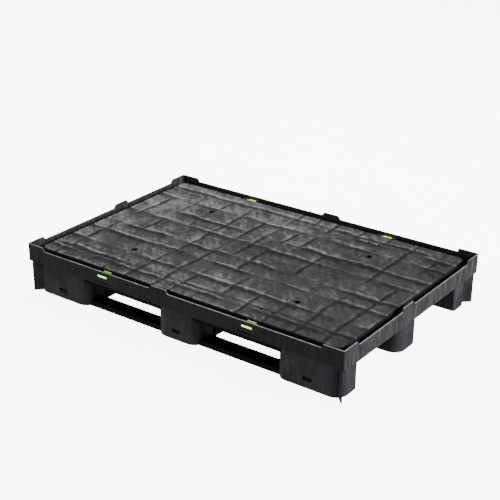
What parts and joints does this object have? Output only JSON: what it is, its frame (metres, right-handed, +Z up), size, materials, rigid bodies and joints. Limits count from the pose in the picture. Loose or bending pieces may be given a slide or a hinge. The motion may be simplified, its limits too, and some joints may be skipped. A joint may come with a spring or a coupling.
{
  "type": "plastic pallet",
  "caption": "Black plastic pallet for a collapsible sleeve: raised rim and corner ears round a grooved deck, hollow blocks, runners and green sliding sleeve locks.",
  "frame": {"origin": "middle of the 1200 x 800 mm footprint, on the ground", "axes": "+X along the length, +Y along the width (the front is -Y), +Z up"},
  "size_m": [1.2, 0.8, 0.168],
  "materials": {
    "deck_plastic": "scuffed recycled black plastic, mottled and slightly glossy",
    "rim_plastic": "black plastic with fine upright drag marks",
    "block_plastic": "black plastic, satin, slightly scuffed",
    "beam_plastic": "plain black plastic",
    "runner_plastic": "black plastic, worn on the underside",
    "housing_plastic": "plain black plastic",
    "latch_green": "bright green plastic, satin gloss"
  },
  "bodies": {
    "pallet": {"deck_shell": "deck_plastic", "base_frame": "rim_plastic", "rim_front": "rim_plastic", "rim_back": "rim_plastic", "rim_right": "rim_plastic", "rim_left": "rim_plastic", "corner_ear_front_right": "rim_plastic", "corner_ear_front_left": "rim_plastic", "corner_ear_back_right": "rim_plastic", "corner_ear_back_left": "rim_plastic", "corner_block_front_right": "block_plastic", "corner_block_front_left": "block_plastic", "corner_block_back_right": "block_plastic", "corner_block_back_left": "block_plastic", "middle_block_front": "block_plastic", "middle_block_back": "block_plastic", "end_block_right": "block_plastic", "end_block_left": "block_plastic", "centre_block": "block_plastic", "side_beam_front": "beam_plastic", "side_beam_back": "beam_plastic", "runner_front": "runner_plastic", "runner_back": "runner_plastic", "runner_middle": "runner_plastic", "latch_housing_front_right": "housing_plastic", "latch_housing_front_left": "housing_plastic", "latch_housing_back_right": "housing_plastic", "latch_housing_back_left": "housing_plastic"},
    "latch_front_right_bolt": {"latch_front_right": "latch_green"},
    "latch_front_left_bolt": {"latch_front_left": "latch_green"},
    "latch_back_right_bolt": {"latch_back_right": "latch_green"},
    "latch_back_left_bolt": {"latch_back_left": "latch_green"}
  },
  "joints": [
    {"name": "latch_front_right_slide", "type": "slide", "parent": "pallet", "child": "latch_front_right_bolt", "axis": [0, -1, 0], "range_m": [0, 0.01]},
    {"name": "latch_front_left_slide", "type": "slide", "parent": "pallet", "child": "latch_front_left_bolt", "axis": [0, -1, 0], "range_m": [0, 0.01]},
    {"name": "latch_back_right_slide", "type": "slide", "parent": "pallet", "child": "latch_back_right_bolt", "axis": [0, 1, 0], "range_m": [0, 0.01]},
    {"name": "latch_back_left_slide", "type": "slide", "parent": "pallet", "child": "latch_back_left_bolt", "axis": [0, 1, 0], "range_m": [0, 0.01]}
  ]
}
